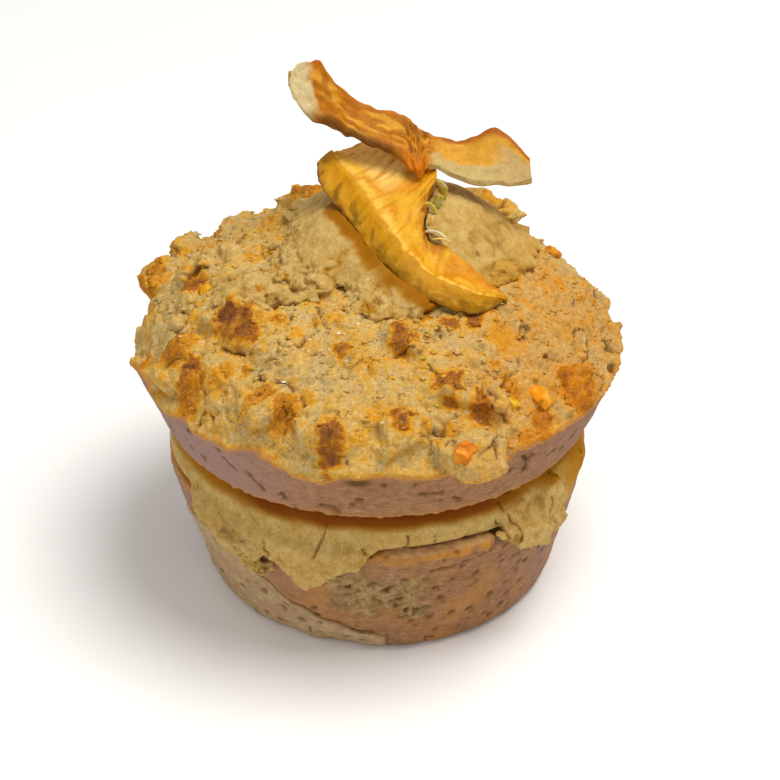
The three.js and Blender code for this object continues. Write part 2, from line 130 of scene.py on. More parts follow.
# Lines cut into a wall, as (angle, height)
UPPER_CRACKS = [
    [(-122.5, 42.5), (-120.6, 40.8), (-118.5, 38.2)], [(-114.4, 38.2), (-112.9, 37.6)],
    [(-128.4, 43.4), (-125.5, 41.3)], [(-55.1, 44.8), (-53.6, 43.6), (-51.4, 43.8)],
    [(-53.6, 43.6), (-53, 41)], [(-45.6, 41.3), (-43.2, 41.7)], [(-71.9, 39.2), (-69.7, 37.5)],
    [(-80.7, 41.4), (-78, 41), (-75.2, 41.2)], [(-113.6, 38.8), (-113.9, 37)], [(-37, 42), (-34.5, 43)],
    [(-10, 40.5), (-6, 42)], [(24, 41), (29, 39.6)], [(66, 42.6), (70, 40.4), (74, 40)],
    [(118, 41), (123, 42.4)], [(165, 40.4), (170, 42)],
]
CREAM_CRACKS = [
    [(-103.6, 31.6), (-104.4, 29.2), (-106.4, 25.6)], [(-82.7, 30.1), (-82.2, 28.4), (-82.9, 26.6)],
    [(-74.9, 29.3), (-74.6, 27.4)], [(-56.4, 32.4), (-54.6, 29.6), (-52.6, 27.6), (-52.5, 25)],
    [(-57.6, 29.4), (-55.9, 26.7), (-58.6, 25.8)], [(-36.2, 32.3), (-34, 31), (-32.6, 28.4)],
    [(-40, 29.4), (-38.5, 27.4), (-40.6, 25.8)], [(-93.6, 27.6), (-91.8, 26.2)], [(-66, 28), (-67, 26.4)],
    [(-119.8, 26.4), (-118.6, 24.2), (-119.2, 21.6)], [(-20, 31), (-22, 27)], [(12, 30), (15, 26)],
    [(48, 31.2), (46, 28.4), (49, 26)], [(88, 29.6), (90, 26.4)], [(128, 31), (131, 27.6)],
    [(171, 30), (169, 27)],
]

LOWER_CRACKS = [
    [(-75.4, 21.4), (-68, 21.6), (-62, 22.2), (-58, 23.4)], [(-87.2, 4.4), (-87, 0.8)],
    [(-75.3, 2.6), (-75, 0.8)], [(-112.2, 3.4), (-111.8, 1)], [(-105.2, 2), (-105, 0.8)],
    [(-39, 23), (-36.5, 20.4)], [(-34.6, 21.6), (-32, 19.8)], [(40, 18), (48, 17)], [(120, 12), (131, 13)],
]

# Small holes in the walls and a burnt spot under the rim, as (angle, height)
UPPER_HOLES = [
    (-129.3, 45.2), (-139, 45.7), (-88.7, 44.3), (-57.7, 42.3), (-141.4, 40.4), (-96.2, 38.5), (-104, 37.4),
    (-75, 38.6), (-30, 43.4), (-12, 41), (30, 42.6), (80, 40.2), (112, 43.4), (150, 41.6), (176, 43),
]
BURNT = (-94.4, 45)
BURNT_HALF = (3.1, 1.5)  # half its width and height
LOWER_PITS = [
    (-83, 19.6), (-84, 14.4), (-74, 16.4), (-72, 13.5), (-79, 10.8), (-75, 8.2), (-68, 8.3), (-55, 9.8),
    (-49, 5), (-47, 7.4), (-42, 8.7), (-36.5, 15.4), (-43, 14.4), (-62, 17.9), (-62, 8), (-85, 12.5),
    (-147, 19.8), (-137, 7.4), (-127, 9.4), (-121, 7), (-115, 5), (-143, 14), (-152, 11), (20, 9), (64, 16),
    (98, 8), (133, 17), (160, 10),
]

# Where the lower wall tore: angle, height, and about half its width in degrees and its height
TORN = [
    (-95, 15.6, 11, 5.8), (-84, 16.5, 10, 4.2), (-102, 20.4, 9, 3.4), (-80, 11, 6, 2.6), (60, 14, 8, 3.6),
    (146, 17, 7, 3.2),
]
TORN_REACH = 1.8  # how far a tear can reach, in those halves

# The fold where the batter met on the lower wall, as (angle, height)
FOLD = [
    (-176, 12), (-160, 18.6), (-148, 20.6), (-136, 21.4), (-130.6, 18), (-125.1, 14.7), (-114.7, 10.3),
    (-104.8, 7.6), (-95, 5.6), (-84, 3.6),
]

# Broken cream at the lower edge of the layer: first and last angle, lowest and highest, how many pieces,
# least and most radius
BROKEN_CREAM = [
    (-132, -119, 19, 24.8, 14, 0.7, 1.8), (-52, -36, 20.6, 22.6, 7, 0.5, 1),
    (-60, -51, 26.4, 28, 5, 0.7, 1.2),
]

# Blocks that it broke into at the front right: angle, height, radius, size round, out and up, tilt
CREAM_BLOCKS = [
    (-47.4, 24.2, 40.4, (8, 3, 4.2), -20), (-38.6, 29, 38, (6, 4.2, 5), 14),
    (-52.4, 29.2, 38.2, (5.4, 2.6, 4), 6), (-36.4, 23.4, 40, (3, 2.4, 2.6), 30),
]

# Middles of the mound and the dab, from above
MOUND_AT = (6, 9)
DAB_AT = (-23.2, -10.2)
MOUND_CLEAR = 29  # specks keep this far from the mound's middle

# Lobes of cream where the mound and the dab end on the crust: place from above and radius
LOBES = [
    (-10.3, -10.1, 2.4), (-13, -8.5, 2.3), (-14.6, -12.8, 1.8), (-16.5, -11.6, 1.3), (-12.2, -12.3, 1.4),
    (-5.7, -6.3, 2.3), (-3.4, -7.5, 2), (-7.8, -7.8, 1.8), (-1.9, -15.6, 2.3), (0.5, -17.2, 2.2),
    (3.2, -18, 1.9), (5.4, -17.6, 1.7), (-16.1, -6.4, 1.8), (-17.6, -2.6, 2), (-14.2, -4.5, 2.4),
    (-1.6, -12.7, 2.2), (-10.5, -5, 2.6), (-11.5, -1, 2.8), (-16, 1.6, 2.2), (2, -14.6, 2.4),
    (-6.5, -3.5, 2.4),
]
DAB_LOBES = [
    (-24.8, -8.2, 2.3), (-22.4, -10.2, 2.3), (-23.9, -11.6, 1.9), (-21.1, -13.4, 1.6), (-19.9, -15.8, 1.1),
    (-22.1, -14.4, 1.2),
]
MOUND_PITS = [  # place from above and radius
    (18, -3, 0.5), (25.4, -3.6, 0.9), (16.6, -1.2, 0.35), (22, 2.2, 0.5), (20.8, -1.3, 0.3), (9, 22, 0.7),
]

# Edges of the two fruit slices, as the solids have them
LOWER_SLICE = {
    "ridge": [
        (-8.9, 15.4, 76.9), (-5.3, 8, 75.7), (-2.5, 2.6, 74.1), (0.2, -2.4, 72.7), (2.8, -6.6, 70.9),
        (5.9, -10, 69), (9.3, -12.6, 67.1), (13.8, -14.8, 66), (17.9, -15.4, 64.9), (22.1, -13.3, 63.1),
    ],
    "rind": [
        (-11.2, 15.2, 74.5), (-10.6, 11, 72.6), (-7.7, 5.6, 71.3), (-4.1, -0.6, 69.7), (-1.4, -5.6, 67.9),
        (1.4, -10.3, 66.4), (4.5, -13.5, 65), (9.1, -16.2, 63.9), (15.5, -17.3, 62.4), (19, -16, 61.9),
        (22.2, -12.4, 61.9),
    ],
    "cut": [
        (-5, 16, 77.3), (-1.2, 18.5, 77.4), (3.5, 18, 77), (8, 14.8, 76.2), (10.5, 10.8, 75.9),
        (10.7, 8, 75.6), (9.3, 5, 74.8), (8.7, 1.6, 73), (8.3, -2, 71.8), (9.5, -5, 69.9),
        (12.1, -5.2, 68.8), (15.7, -8, 67.2), (18, -10, 65.5), (22.8, -13, 63),
    ],
}
RIND_FACING = Vector((-0.78, -0.6, -0.15))  # the way that slice's rind looks
BLUNT_END = 0.06  # share of its length over which the upper end of that slice rounds off
BLUNT_BY = 0.15  # share of its width by which it does so
UPPER_SLICE = {
    "front": [
        (-15.6, 12.8, 92.5), (-14.9, 11.8, 90), (-12, 11.6, 86.2), (-7.6, 12, 83.4), (-3.5, 12, 80.9),
        (1.3, 11.6, 79.2), (4.5, 10.4, 77.8), (7.4, 7.8, 76.2), (9.7, 9.4, 76.9), (14.9, 9, 74.5),
        (22.1, 9, 73.3), (28, 10.2, 73.3),
    ],
    "back": [
        (-15.6, 14.4, 92.8), (-13, 16.5, 93.3), (-10.1, 17.6, 92.7), (-7.6, 18, 89.3), (-3.5, 18.3, 84.8),
        (1.3, 18.2, 83.1), (5.1, 17.8, 82.3), (7.7, 17.4, 79.6), (11.5, 17.3, 78.2), (16.2, 17, 77.9),
        (21.9, 16.5, 80.3), (27.8, 15, 75.3),
    ],
}

# Each slice's length, width and thickness as if it lay flat, for its wrinkles and colours
LOWER_FLAT = (48, 12, 7)
UPPER_FLAT = (58, 9, 2)


# ---- Numbers ----

def lerp(a, b, t):
    return a + (b - a) * t


def ease(x, lo, hi):
    """0 below `lo`, 1 above `hi` and a smooth rise between."""
    t = min(max((x - lo) / (hi - lo), 0), 1)
    return t * t * (3 - 2 * t)


def close_to(x, middle, core, reach):
    """1 within `core` of the middle, down to 0 at `reach` from it."""
    return ease(-abs(x - middle), -reach, -core)


def read_at(rows, key):
    """Reads a list of (key, value) rows at a key, smoothly."""
    for (k0, v0), (k1, v1) in zip(rows, rows[1:]):
        if key <= k1:
            return lerp(v0, v1, ease(key, k0, k1))
    return rows[-1][1]


def wave(p, size, seed=0):
    """Smooth noise from about -1 to 1 that changes over `size` mm."""
    return noise.noise(p / size + Vector((seed, 1.7 * seed, 0.3 * seed)))


def clods(p, size, seed=0):
    """Rounded clods about `size` mm across: 1 on top of each and 0 in the creases between them."""
    q = p / size + Vector((seed, seed, seed))
    q += 0.3 * noise.noise_vector(1.9 * q)
    near = noise.voronoi(q)[0]
    flat = 1 - min((near[1] - near[0]) / 0.5, 1)
    return 1 - flat * flat


def creases(p, size, seed=0):
    """1 in creases that part uneven lumps about `size` mm across, and fade out here and there."""
    q = p / size + Vector((seed, seed, seed))
    q += 0.5 * noise.noise_vector(1.3 * q)
    near = noise.voronoi(q)[0]
    open_here = ease(noise.noise(0.8 * q + Vector((9, 4, 2))), -0.05, 0.3)
    return (1 - ease(near[1] - near[0], 0, 0.34)) * open_here


def specks(p, size, share, seed=0):
    """1 inside scattered spots about half of `size` mm wide, 0 between; `share` of the places have one."""
    q = p / size + Vector((seed, seed, seed))
    q += 0.25 * noise.noise_vector(2.3 * q)
    near, places = noise.voronoi(q)
    draw = noise.cell(41 * places[0])
    return ease(share - abs(draw), 0, 0.05) * (1 - ease(near[0], 0.22, 0.42))


def turn_of(p):
    return degrees(atan2(p.y, p.x))


def on_wall(angle, height, radius):
    a = radians(angle)
    return Vector((radius * cos(a), radius * sin(a), height))


def cut_line(p, line, width):
    """1 on a line of (angle, height) points round a wall, down to 0 at `width` mm from it."""
    radius = hypot(p.x, p.y)
    along = radians(turn_of(p)) * radius
    nearest = 9
    for (a0, z0), (a1, z1) in zip(line, line[1:]):
        start, dx, dz = radians(a0) * radius, radians(a1 - a0) * radius, z1 - z0
        t = min(max(((along - start) * dx + (p.z - z0) * dz) / (dx * dx + dz * dz), 0), 1)
        nearest = min(nearest, hypot(along - start - t * dx, p.z - z0 - t * dz))
    return 1 - ease(nearest, 0, width)


def near_line(p, line, margin=1.6):
    turns, heights = zip(*line)
    wide = degrees(margin / hypot(p.x, p.y))
    beside = min(turns) - wide < turn_of(p) < max(turns) + wide
    return beside and min(heights) - margin < p.z < max(heights) + margin


def cracked(p, lines, width):
    """1 in the deepest part of any of the cracks and 0 away from them; their edges are ragged."""
    deepest = 0
    for line in lines:
        if near_line(p, line):
            ragged = width * (1 + 0.7 * wave(p, 0.9, 31))
            deepest = max(deepest, cut_line(p + 0.35 * noise.noise_vector(p / 1.4), line, ragged))
    return deepest


# ---- Meshes ----

def solid_copy(node):
    """A merged copy of a solid in mm."""
    bm = bmesh.new()
    bm.from_mesh(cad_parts[node].data)
    bmesh.ops.scale(bm, vec=3 * [1 / MM], verts=bm.verts)
    bmesh.ops.remove_doubles(bm, verts=bm.verts, dist=0.004)
    bmesh.ops.recalc_face_normals(bm, faces=bm.faces)
    return bm


def add_ball(bm, centre, radius, stretch=(1, 1, 1), detail=2, uneven=0.3):
    """An uneven ball of batter, cream or crumb."""
    made = bmesh.ops.create_icosphere(bm, subdivisions=detail, radius=1)["verts"]
    for v in made:
        swell = 1 + uneven * wave(v.co * 0.8 + centre, 0.9, 17) * 1.6
        v.co = centre + radius * swell * Vector(a * b for a, b in zip(v.co, stretch))
    return made


def add_block(bm, angle, height, radius, size, tilt):
    """A block that leans on a wall; `size` is round the wall, out and up."""
    round_it, out, up = size
    facing = Matrix.Rotation(radians(angle), 3, "Z") @ Matrix.Rotation(radians(tilt), 3, "X")
    for v in bmesh.ops.create_cube(bm, size=1)["verts"]:
        corner = Vector((out * v.co.x, round_it * v.co.y, up * v.co.z))
        v.co = on_wall(angle, height, radius) + facing @ corner


def new_object(name, bm):
    mesh = bpy.data.meshes.new(name)
    bm.to_mesh(mesh)
    bm.free()
    made = bpy.data.objects.new(name, mesh)
    bpy.context.scene.collection.objects.link(made)
    return made


def applied(made):
    """Turns a piece's modifiers into its mesh."""
    shown = made.evaluated_get(bpy.context.evaluated_depsgraph_get())
    old, made.data = made.data, bpy.data.meshes.new_from_object(shown)
    made.modifiers.clear()
    bpy.data.meshes.remove(old)
    made.data.name = made.name
    return made


def fused(name, bm, face, soften):
    """One closed skin round everything in `bm`, with faces about `face` mm wide."""
    made = new_object(name, bm)
    skin = made.modifiers.new("fuse", "REMESH")
    skin.mode = "VOXEL"
    skin.voxel_size = face
    even = made.modifiers.new("soften", "SMOOTH")
    even.factor = 0.5
    even.iterations = soften
    return applied(made)


def worked(made, names, relief):
    """Moves each vertex out along its normal and keeps its marks; relief(point, normal) gives how far and
    a number for each mark that isn't 0 there. The marks' names are those that the materials read."""
    mesh = made.data
    places = [v.co.copy() for v in mesh.vertices]
    normals = [v.normal.copy() for v in mesh.vertices]
    kept = {name: [] for name in names}
    for vertex, p, n in zip(mesh.vertices, places, normals):
        out, marks = relief(p, n)
        vertex.co = p + out * n
        for name, values in kept.items():
            values.append(marks.get(name, 0))
    for name, values in kept.items():
        mesh.attributes.new(name, "FLOAT", "POINT").data.foreach_set("value", np.array(values, np.float32))
    mesh.update()
    return made


def finished(made, material, slot, *nodes):
    """Brings a piece to metres and ties it to the part."""
    made.data.transform(Matrix.Scale(MM, 4))
    made.data.shade_smooth()
    made.data.materials.clear()
    made.data.materials.append(material)
    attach(made, "root")
    if nodes:
        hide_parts(*nodes)


def surface_tree(made):
    """For dropping things on a piece that is still in mm."""
    bm = bmesh.new()
    bm.from_mesh(made.data)
    tree = BVHTree.FromBMesh(bm)
    bm.free()
    return tree


def drop(tree, x, y, from_z=99):
    """Place and normal where a straight fall at x, y first meets the surface."""
    place, normal, _, _ = tree.ray_cast(Vector((x, y, from_z)), Vector((0, 0, -1)))
    return place, normal


# ---- Finishes ----

def srgb(r, g, b):
    """A colour in screen values from 0 to 255, as the linear colour that shaders use."""
    linear = [c / 255 / 12.92 if c < 11 else ((c / 255 + 0.055) / 1.055) ** 2.4 for c in (r, g, b)]
    return (*linear, 1)


def add(tree, kind, inputs=None, **settings):
    """A shader node with values or links for its inputs."""
    made = tree.nodes.new("ShaderNode" + kind)
    for key, value in settings.items():
        setattr(made, key, value)
    for key, value in (inputs or {}).items():
        if isinstance(value, bpy.types.NodeSocket):
            tree.links.new(value, made.inputs[key])
        else:
            made.inputs[key].default_value = value
    return made


def make_grain():
    """Fine grain of crumb, cream or dried fruit: fine and coarse mottling, and a height for bumps. `Flat`
    draws it out sideways into streaks."""
    tree = bpy.data.node_groups.new("grain", "ShaderNodeTree")
    for name in ("Size mm", "Flat"):
        tree.interface.new_socket(name, in_out="INPUT", socket_type="NodeSocketFloat").default_value = 1
    for name in ("Fine", "Coarse", "Height"):
        tree.interface.new_socket(name, in_out="OUTPUT", socket_type="NodeSocketFloat")
    given = tree.nodes.new("NodeGroupInput")
    result = tree.nodes.new("NodeGroupOutput")
    place = add(tree, "TexCoord")
    flat = add(tree, "CombineXYZ", {"X": 1.0, "Y": 1.0, "Z": given.outputs["Flat"]})
    drawn = add(tree, "VectorMath", {0: place.outputs["Object"], 1: flat.outputs[0]}, operation="MULTIPLY")
    per_mm = add(tree, "Math", {0: 1 / MM, 1: given.outputs["Size mm"]}, operation="DIVIDE")
    scaled = add(tree, "VectorMath", {0: drawn.outputs[0], "Scale": per_mm.outputs[0]}, operation="SCALE")
    at = {"Vector": scaled.outputs[0]}
    fine = add(tree, "TexNoise", {**at, "Scale": 1.0, "Detail": 3.0, "Roughness": 0.6})
    coarse = add(tree, "TexNoise", {**at, "Scale": 0.3, "Detail": 2.0, "Roughness": 0.55})
    cells = add(tree, "TexVoronoi", {**at, "Scale": 0.8, "Smoothness": 0.5}, feature="SMOOTH_F1")
    height = add(tree, "Math", {0: fine.outputs["Fac"], 1: cells.outputs["Distance"]}, operation="SUBTRACT")
    tree.links.new(fine.outputs["Fac"], result.inputs["Fine"])
    tree.links.new(coarse.outputs["Fac"], result.inputs["Coarse"])
    tree.links.new(height.outputs[0], result.inputs["Height"])
    return tree


GRAIN = make_grain()


class Finish:
    """A material that is put together a few nodes at a time."""

    def __init__(self, name, roughness, specular):
        self.material = bpy.data.materials.new(name)
        self.material.use_nodes = True
        self.tree = self.material.node_tree
        self.shader = self.tree.nodes["Principled BSDF"]
        self.shader.inputs["Roughness"].default_value = roughness
        self.shader.inputs["Specular IOR Level"].default_value = specular

    def attribute(self, name):
        return add(self.tree, "Attribute", attribute_name=name).outputs["Fac"]

    def grain(self, size, flat=1):
        return add(self.tree, "Group", {"Size mm": size, "Flat": flat}, node_tree=GRAIN).outputs

    def math(self, operation, a, b=0.0, clamp=False):
        return add(self.tree, "Math", {0: a, 1: b}, operation=operation, use_clamp=clamp).outputs[0]

    def spread(self, value, lo, hi):
        """Stretches a value so that `lo` becomes 0 and `hi` becomes 1."""
        return add(self.tree, "MapRange", {0: value, 1: lo, 2: hi}).outputs[0]

    def sum(self, first, *rest):
        """first + value * share for each (value, share); each value is taken as varying about 0.5."""
        total = first
        for value, share in rest:
            centred = self.math("SUBTRACT", value, 0.5)
            total = add(self.tree, "Math", {0: centred, 1: share, 2: total},
                        operation="MULTIPLY_ADD").outputs[0]
        return total

    def ramp(self, value, *stops):
        """Colours by a value; a stop is its position and a screen colour."""
        made = add(self.tree, "ValToRGB", {"Fac": value})
        marks = made.color_ramp.elements
        while len(marks) < len(stops):
            marks.new(0.5)
        for mark, (position, colour) in zip(marks, stops):
            mark.position = position
            mark.color = srgb(*colour)
        return made.outputs["Color"]

    def mix(self, factor, a, b, blend="MIX"):
        """Lays b over a; b is an output or a screen colour."""
        over = srgb(*b) if isinstance(b, tuple) else b
        return add(self.tree, "Mix", {0: factor, 6: a, 7: over}, data_type="RGBA",
                   blend_type=blend).outputs[2]

    def colour(self, value):
        self.tree.links.new(value, self.shader.inputs["Base Color"])

    def bump(self, *layers):
        """Bumps from (height, strength, depth in mm) layers, the broad ones first."""
        normal = None
        for height, strength, depth in layers:
            inputs = {"Height": height, "Strength": strength, "Distance": depth * MM}
            if normal:
                inputs["Normal"] = normal
            normal = add(self.tree, "Bump", inputs).outputs[0]
        self.tree.links.new(normal, self.shader.inputs["Normal"])


def baked_finish():
    """Crust and tin-baked wall of both halves. Reads how browned, rosy, toned, pale and open each place is,
    its grey-mauve tone with painted reflection, its painted shade in crevices, and whether it is wall or a
    pit."""
    f = Finish("baked batter", 0.85, 0.15)
    fine, wide, sand = f.grain(0.42), f.grain(1.5), f.grain(0.62)
    browned = f.attribute("browned")
    toasted = f.sum(browned, (fine["Fine"], 0.42), (wide["Fine"], 0.3), (wide["Coarse"], 0.2))
    crust = f.ramp(
        toasted, (0, (186, 160, 104)), (0.2, (194, 160, 90)), (0.38, (200, 156, 72)),
        (0.55, (206, 148, 34)), (0.7, (188, 120, 14)), (0.84, (148, 88, 24)),
        (1, (102, 58, 30)),
    )
    pale = f.spread(browned, 1, 0.35)
    scorched = f.math("MULTIPLY", f.spread(sand["Fine"], 0.46, 0.34), f.math("MULTIPLY", pale, 0.55, True))
    crust = f.mix(scorched, crust, (176, 116, 30))
    floury = f.math("MULTIPLY", f.spread(sand["Fine"], 0.53, 0.66), f.math("MULTIPLY", pale, 0.6, True))
    crust = f.mix(floury, crust, (216, 190, 136))
    rosy = f.mix(f.attribute("rosy"), crust, (246, 212, 170), "MULTIPLY")
    skin = f.ramp(
        f.sum(0.5, (fine["Fine"], 0.6), (wide["Fine"], 0.6), (f.grain(2.4, 6)["Fine"], 0.6)),
        (0.1, (112, 76, 48)), (0.45, (146, 104, 70)), (0.85, (182, 140, 102)),
    )
    # Grey-mauve on the walls: a painted cool reflection toward their left and right sides, and the grey of
    # the pocket near the lower lip.
    skin = f.mix(f.attribute("cool"), skin, (154, 124, 118))
    skin = f.mix(f.attribute("toned"), skin, (196, 134, 52))
    # Pale is partly painted light: a painted highlight along the top edge of the lower lip, and crumb below
    # the fold painted lighter to make up for the shade on that side.
    skin = f.mix(f.attribute("pale"), skin, (206, 178, 142))
    crumb = f.ramp(
        f.sum(0.5, (sand["Fine"], 0.7), (wide["Fine"], 0.9), (wide["Coarse"], 0.5)),
        (0.1, (96, 74, 40)), (0.45, (156, 128, 82)), (0.85, (208, 184, 134)),
    )
    skin = f.mix(f.attribute("open"), skin, crumb)
    body = f.mix(f.attribute("wall"), rosy, skin)
    # Painted shade: a duller, darker colour in the crust's crevices, the groove under the fold, the low
    # parts of torn crumb and the pocket near the lower lip.
    shaded_body = f.mix(f.attribute("painted_shade"), body, (150, 118, 66), "MULTIPLY")
    f.colour(f.mix(f.attribute("pit"), shaded_body, (92, 62, 20)))
    f.bump((wide["Height"], 0.45, 0.25), (fine["Height"], 0.6, 0.16))
    return f.material


def cream_finish():
    """Nut cream. Reads its painted shade, and a warm orange that is painted warm shade below the upper half,
    beside the thick slice, in creases and on the right bulge, and on the mound partly the cream's own tone.
    """
    f = Finish("nut cream", 0.7, 0.1)
    fine, wide = f.grain(0.36), f.grain(1.6)
    body = f.ramp(
        f.sum(0.5, (fine["Fine"], 0.9), (wide["Fine"], 0.9), (wide["Coarse"], 0.6)),
        (0.05, (152, 112, 46)), (0.3, (174, 138, 68)), (0.55, (190, 158, 92)),
        (0.95, (212, 184, 126)),
    )
    # This orange is mostly painted warm shade, on the mound partly the cream's own warmer tone; the multiply
    # after it is painted shade.
    body = f.mix(f.attribute("amber_and_shade"), body, (184, 128, 0))
    f.colour(f.mix(f.attribute("painted_shade"), body, (176, 134, 40), "MULTIPLY"))
    f.bump((wide["Height"], 0.24, 0.25), (fine["Height"], 0.5, 0.12))
    return f.material


def fruit_finish(name, roughness):
    """Dried fruit. Reads a tint for each vertex, and draws fibres and blotches over it."""
    f = Finish(name, roughness, 0.16)
    fine, wide = f.grain(0.5), f.grain(2)
    tint = add(f.tree, "Attribute", attribute_name="tint").outputs["Color"]
    lights = f.ramp(
        f.sum(0.5, (fine["Fine"], 0.6), (wide["Fine"], 0.7)),
        (0.1, (206, 188, 160)), (0.5, (240, 236, 226)), (0.9, (255, 255, 250)),
    )
    f.colour(f.mix(1.0, tint, lights, "MULTIPLY"))
    f.bump((wide["Height"], 0.3, 0.3), (fine["Height"], 0.35, 0.1))
    return f.material


# Numbers that each vertex keeps for these materials
BAKED_MARKS = ("browned", "painted_shade", "rosy", "cool", "toned", "pale", "open", "wall", "pit")
CREAM_MARKS = ("amber_and_shade", "painted_shade")

BAKED = baked_finish()
CREAM = cream_finish()
THICK_FRUIT = fruit_finish("thick dried fruit", 0.5)
THIN_FRUIT = fruit_finish("thin dried fruit", 0.55)


# ---- Upper half ----

def browning_and_shadow(p, spots):
    """How browned the crust is at a place, painted shadow spots included: the darkest of the spots that
    reach it.
    """
    ragged = 0.34 * wave(p, 2.4, 3) + 0.26 * wave(p, 1, 5)
    most = 0
    for x, y, reach, dark in spots:
        if abs(p.x - x) < 1.7 * reach and abs(p.y - y) < 1.7 * reach:
            away = hypot(p.x - x, p.y - y) / reach
            most = max(most, dark * (1 - ease(away + ragged, 0.4, 1.25)))
    return most


def back_spots():
    """Browned spots on the hidden side, spread evenly by angle."""
    draw = Random(5)
    spots = []
    for k in range(BACK_SPOTS):
        a = radians(lerp(44, 136, (k + draw.random()) / BACK_SPOTS))
        away = lerp(26, 43, sqrt(draw.random()))
        reach, dark = lerp(2.2, 5.4, draw.random()), lerp(0.5, 0.92, draw.random())
        spots.append((away * cos(a), away * sin(a), reach, dark))
    return spots


SPOTS = BROWN_AND_SHADOW_SPOTS + back_spots()


def crust_relief(p):
    """Soft lumps, crumbs and a few crevices of the crust, outwards in mm."""
    lumps = 0.5 * (clods(p, 4.6, 1) - 0.62) + 0.42 * wave(p, 3, 6)
    crumbs = 0.26 * (clods(p, 1.7, 2) - 0.6) + 0.2 * wave(p, 0.9, 7)
    crevice = ease(0.09 - abs(wave(p, 5, 8)), 0, 0.09) * ease(wave(p, 8, 12), 0, 0.25)
    return lumps + crumbs - 0.85 * crevice


def crust_marks(p, crag):
    """Colour numbers for a place on the crust."""
    toasted = 0.24 + 0.34 * wave(p, 5, 33) + 0.34 * wave(p, 1.7, 34) + 0.2 * wave(p, 0.8, 36) + 0.16 * crag
    # The darkening in crevices is painted shade, and browned takes in the painted shadow below the thick
    # slice.
    return {
        "browned": min(max(toasted, browning_and_shadow(p, SPOTS) + 0.22 * crag), 1.2),
        "painted_shade": ease(-crag, 0.2, 0.95),
        "rosy": 0.5 * ease(p.x + 5 * wave(p, 8, 35), 4, 30) * ease(18 - p.y, 0, 12),
    }


def wall_relief(p):
    """Skin that baked against the tin, with faint streaks round it."""
    streak = Vector((p.x, p.y, 5 * p.z))
    return 0.14 * wave(p, 3.2, 13) + 0.07 * wave(p, 1, 14) + 0.06 * wave(streak, 4, 15)


def holed(p, holes, reach):
    """1 in the middle of the nearest of some small holes in a wall, given as (angle, height)."""
    radius = hypot(p.x, p.y)
    angle = turn_of(p)
    deepest = 0
    for a, z in holes:
        along = radians(angle - a) * radius
        if abs(along) < 2 * reach and abs(p.z - z) < 2 * reach:
            away = hypot(0.75 * along, p.z - z) / reach + 0.4 * wave(p, 0.8, 16)
            deepest = max(deepest, 1 - ease(away, 0.35, 1))
    return deepest


def upper_relief(p, n):
    """Relief and marks of the upper half: crust above the rim line, tin-baked wall below it."""
    angle, away = turn_of(p), hypot(p.x, p.y)
    rim = read_at(RIM_LINE, angle) + 0.6 * wave(p, 2.2, 21) + 0.3 * wave(p, 0.8, 22)
    wall = ease(rim - p.z, -0.25, 0.35) * ease(away, 34, 36)
    base = ease(UPPER_Z + 0.55 - p.z + 0.5 * wave(p, 1.2, 24), 0, 0.5) * wall
    crack = cracked(p, UPPER_CRACKS, 0.44) * wall
    hole = max(0.9 * holed(p, UPPER_HOLES, 0.6), 0.7 * specks(p, 2.6, 0.1, 3)) * wall
    beside, above = radians(angle - BURNT[0]) * away, p.z - BURNT[1]
    burnt = (1 - ease(hypot(beside / BURNT_HALF[0], above / BURNT_HALF[1]), 0.4, 1)) * wall
    edge = ease(abs(rim - p.z), 1.1, 0) if away > 40 else 0
    crag = crust_relief(p) * (1 - wall) * (1 - 0.4 * edge)
    marks = crust_marks(p, crag)
    marks["browned"] = max(marks["browned"], 0.6 * edge)
    # The cool mark on the wall is a painted cool reflection, strong toward the left and faint toward the
    # right.
    marks.update(
        cool=0.8 * ease(-p.x, 4, 34) + 0.3 * ease(p.x, 20, 40), open=0.35 * base, wall=wall,
        toned=max(ease(abs(rim - 0.35 - p.z), 0.6, 0), 0.3 * ease(UPPER_Z + 2.4 - p.z, 0, 2), base),
        pit=max(crack, hole, 0.9 * burnt),
    )
    lip = 0.25 * edge * (0.4 + clods(p, 1.4, 25))
    skin = wall * wall_relief(p) + 0.2 * base * clods(p, 0.8, 23)
    return crag + lip + skin - 0.8 * crack - 0.5 * hole, marks


def upper_cake():
    bm = solid_copy("upper_cake")
    crust = BVHTree.FromBMesh(bm)
    draw = Random(11)
    for _ in range(CRUST_CLODS):
        a, away = radians(360 * draw.random()), 43.2 * sqrt(draw.random())
        place, normal = drop(crust, away * cos(a), away * sin(a))
        radius = lerp(0.6, 1.8, draw.random() ** 2.2)
        add_ball(bm, place - 0.25 * radius * normal, radius, (1.3, 1, 0.75), 2, 0.5)
    for _ in range(EDGE_CRUMBS):
        place = on_wall(360 * draw.random(), UPPER_Z + 0.2 + 0.4 * draw.random(), UPPER_BASE_R - 0.2)
        add_ball(bm, place, lerp(0.3, 0.6, draw.random()), (1, 1, 0.8), 1)
    made = fused("upper_half", bm, CRUST_FACE, 1)
    return worked(made, BAKED_MARKS, upper_relief)


# ---- Lower half ----

FOOT_EDGE = 0.3  # height up to which the base stays flat


def torn(p, angle):
    """1 where the lower wall tore and shows its crumb."""
    away = min(hypot((angle - a) / wide, (p.z - z) / high) for a, z, wide, high in TORN)
    if away > TORN_REACH:
        return 0
    return 1 - ease(away + 0.5 * wave(p, 4, 42) + 0.3 * wave(p, 1.5, 44), 0.35, 1.25)


